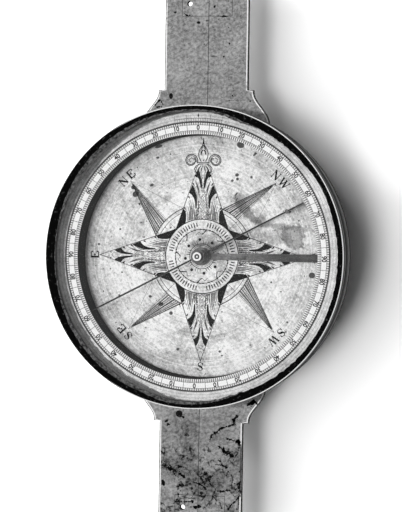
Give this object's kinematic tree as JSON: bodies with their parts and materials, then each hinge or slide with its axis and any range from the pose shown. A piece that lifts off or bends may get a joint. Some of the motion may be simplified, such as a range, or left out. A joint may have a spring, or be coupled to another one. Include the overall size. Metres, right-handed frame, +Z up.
{
  "type": "surveyor's compass",
  "caption": "Round brass surveying compass on a flat limb plate with two arms, turning degree ring, needle with lifter, and staff socket beneath.",
  "frame": {"origin": "middle of the staff socket's mouth, under the pivot, on the plane that the socket stands on", "axes": "+Z up through the pivot, +Y along the north arm of the limb plate, +X towards the west letter of the reversed card"},
  "size_m": [0.1776, 0.368, 0.0763],
  "materials": {
    "limb_brass": "aged, grey, pitted",
    "box_brass": "aged, turned",
    "silvered_land": "matt silvered",
    "silvered_ring": "matt silvered, engraved",
    "silvered_face": "matt silvered, stained, engraved",
    "pivot_steel": "polished",
    "needle_steel": "blued, dark",
    "cap_brass": "turned, bright edges",
    "agate": "polished stone",
    "wire_brass": "dull wire",
    "lifter_brass": "dark, stained",
    "screw_steel": "blued",
    "knob_brass": "milled",
    "glass": "clear",
    "cement": "black, rough, chipped",
    "socket_brass": "aged, turned"
  },
  "bodies": {
    "root": {"limb_plate": "limb_brass", "compass_box": "box_brass", "bezel_ring": "box_brass", "land_ring": "silvered_land", "face_plate": "silvered_face", "pivot_pin": "pivot_steel", "pivot_nut": "box_brass", "lifter_block": "box_brass", "lifter_anchor_screw": "screw_steel", "lifter_bush": "box_brass", "glass": "glass", "cement_ring": "cement", "box_screw_1": "screw_steel", "box_screw_2": "screw_steel", "box_screw_3": "screw_steel", "box_screw_4": "screw_steel", "staff_socket": "socket_brass", "socket_screw_1": "screw_steel", "socket_screw_2": "screw_steel", "socket_screw_3": "screw_steel", "socket_screw_4": "screw_steel"},
    "degree_ring": {"degree_ring": "silvered_ring"},
    "ring_clamp": {"ring_clamp_screw": "knob_brass", "ring_clamp_washer": "box_brass"},
    "lifter_spring": {"lifter_spring": "lifter_brass", "lifter_collar": "lifter_brass"},
    "needle": {"needle_blade": "needle_steel", "needle_cap": "cap_brass", "needle_jewel": "agate", "needle_balance": "wire_brass", "needle_rider": "wire_brass"},
    "lifter_screw": {"lifter_screw": "knob_brass"},
    "socket_clamp": {"socket_clamp_screw": "knob_brass"}
  },
  "joints": [
    {"name": "degree_ring_turn", "type": "hinge", "parent": "root", "child": "degree_ring", "pos_m": [0, 0, 0.0574], "axis": [0, 0, 1], "range_deg": [-10, 10]},
    {"name": "ring_clamp_turn", "type": "hinge", "parent": "degree_ring", "child": "ring_clamp", "pos_m": [-0.0548, -0.0548, 0.04], "axis": [0, 0, 1], "range_deg": [0, 360]},
    {"name": "lifter_spring_tilt", "type": "hinge", "parent": "root", "child": "lifter_spring", "pos_m": [0.0784, 0, 0.0533], "axis": [0, 1, 0], "range_deg": [0, 0.9]},
    {"name": "lifter_screw_turn", "type": "hinge", "parent": "root", "child": "lifter_screw", "pos_m": [0.04, 0, 0.04], "axis": [0, 0, 1], "range_deg": [0, 360]},
    {"name": "needle_spin", "type": "hinge", "parent": "lifter_spring", "child": "needle", "pos_m": [0, 0, 0.0632], "axis": [0, 0, 1], "continuous": true},
    {"name": "socket_clamp_turn", "type": "hinge", "parent": "root", "child": "socket_clamp", "pos_m": [0, -0.02, 0.019], "axis": [0, -1, 0], "range_deg": [0, 720]}
  ],
  "couplings": [
    {"joint": "lifter_screw_turn", "follows": "lifter_spring_tilt", "ratio": 399.9}
  ]
}
